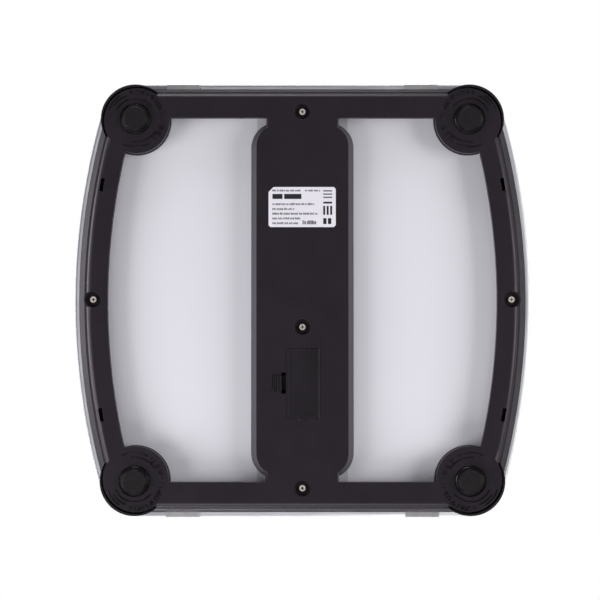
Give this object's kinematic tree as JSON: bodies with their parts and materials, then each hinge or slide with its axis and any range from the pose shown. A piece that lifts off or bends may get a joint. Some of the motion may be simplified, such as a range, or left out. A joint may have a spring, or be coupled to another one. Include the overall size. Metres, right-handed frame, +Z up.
{
  "type": "digital bathroom scale",
  "caption": "Flat glass bathroom scale with bowed sides, folded metal foot electrodes, a black plastic underframe with round corner feet, push keys and a hinged battery door.",
  "frame": {"origin": "on the floor under the middle of the scale", "axes": "+Z up, +Y towards the display end, +X to the user's right"},
  "size_m": [0.33, 0.3138, 0.0254],
  "materials": {
    "glass": "tempered glass, silver-white paint on its back",
    "stainless": "brushed",
    "tape": "foam tape",
    "black_plastic": "fine satin grain",
    "door_plastic": "fine satin grain",
    "foot_plastic": "satin",
    "foot_rubber": "matt",
    "screw_steel": "nickel plated",
    "lead_sleeve": "soft sleeve",
    "thin_lead": "insulated wire",
    "cell_steel": "plated",
    "white_plastic": "moulded",
    "gauge_film": "film with glue",
    "board": "solder resist",
    "chip_black": "potting",
    "display": "liquid crystal panel",
    "light_guide": "clear acrylic",
    "zebra_rubber": "striped elastomer",
    "key_plastic": "silver paint",
    "switch_plastic": "moulded",
    "battery_jacket": "printed foil",
    "nickel_plate": "nickel plated",
    "foam": "open foam",
    "label": "white film"
  },
  "bodies": {
    "platform": {"backlight_panel": "light_guide", "battery_bridge_contact": "nickel_plate", "battery_cell_1": "battery_jacket", "battery_cell_2": "battery_jacket", "battery_cell_3": "battery_jacket", "battery_cell_4": "battery_jacket", "battery_leads": "thin_lead", "battery_terminal_minus": "nickel_plate", "battery_terminal_plus": "nickel_plate", "board_chips": "chip_black", "board_screws": "screw_steel", "bonding_tape": "tape", "case_screws": "screw_steel", "cell_holder_far_left": "white_plastic", "cell_holder_far_right": "white_plastic", "cell_holder_near_left": "white_plastic", "cell_holder_near_right": "white_plastic", "electrode_far_left": "stainless", "electrode_far_right": "stainless", "electrode_leads": "thin_lead", "electrode_near_left": "stainless", "electrode_near_right": "stainless", "foot_far_left": "foot_plastic", "foot_far_right": "foot_plastic", "foot_near_left": "foot_plastic", "foot_near_right": "foot_plastic", "foot_pad_far_left": "foot_rubber", "foot_pad_far_right": "foot_rubber", "foot_pad_near_left": "foot_rubber", "foot_pad_near_right": "foot_rubber", "glass_platform": "glass", "lcd_holder": "white_plastic", "lcd_panel": "display", "load_cell_far_left": "cell_steel", "load_cell_far_right": "cell_steel", "load_cell_lead_far_left": "lead_sleeve", "load_cell_lead_far_right": "lead_sleeve", "load_cell_lead_near_left": "lead_sleeve", "load_cell_lead_near_right": "lead_sleeve", "load_cell_near_left": "cell_steel", "load_cell_near_right": "cell_steel", "lower_cover": "black_plastic", "main_board": "board", "rating_label": "label", "strain_gauges": "gauge_film", "tact_switches": "switch_plastic", "upper_tray": "black_plastic", "zebra_strips": "zebra_rubber"},
    "key_set": {"key_cap_set": "key_plastic", "tact_plunger_set": "switch_plastic"},
    "key_up": {"key_cap_up": "key_plastic", "tact_plunger_up": "switch_plastic"},
    "key_down": {"key_cap_down": "key_plastic", "tact_plunger_down": "switch_plastic"},
    "battery_door": {"battery_door": "door_plastic", "door_foam": "foam"},
    "door_latch": {"door_latch": "door_plastic"}
  },
  "joints": [
    {"name": "battery_door_hinge", "type": "hinge", "parent": "platform", "child": "battery_door", "pos_m": [-0.0116, -0.06025, 0.0054], "axis": [0, 1, 0], "range_deg": [0, 95]},
    {"name": "door_latch_press", "type": "slide", "parent": "battery_door", "child": "door_latch", "axis": [-1, 0, 0], "range_m": [0, 0.0012], "stiffness_N_per_m": 1500, "springref_m": -0.0003},
    {"name": "key_set_press", "type": "slide", "parent": "platform", "child": "key_set", "axis": [0, 0, -1], "range_m": [0, 0.0005], "stiffness_N_per_m": 2000, "springref_m": -0.0003},
    {"name": "key_up_press", "type": "slide", "parent": "platform", "child": "key_up", "axis": [0, 0, -1], "range_m": [0, 0.0005], "stiffness_N_per_m": 2000, "springref_m": -0.0003},
    {"name": "key_down_press", "type": "slide", "parent": "platform", "child": "key_down", "axis": [0, 0, -1], "range_m": [0, 0.0005], "stiffness_N_per_m": 2000, "springref_m": -0.0003}
  ]
}
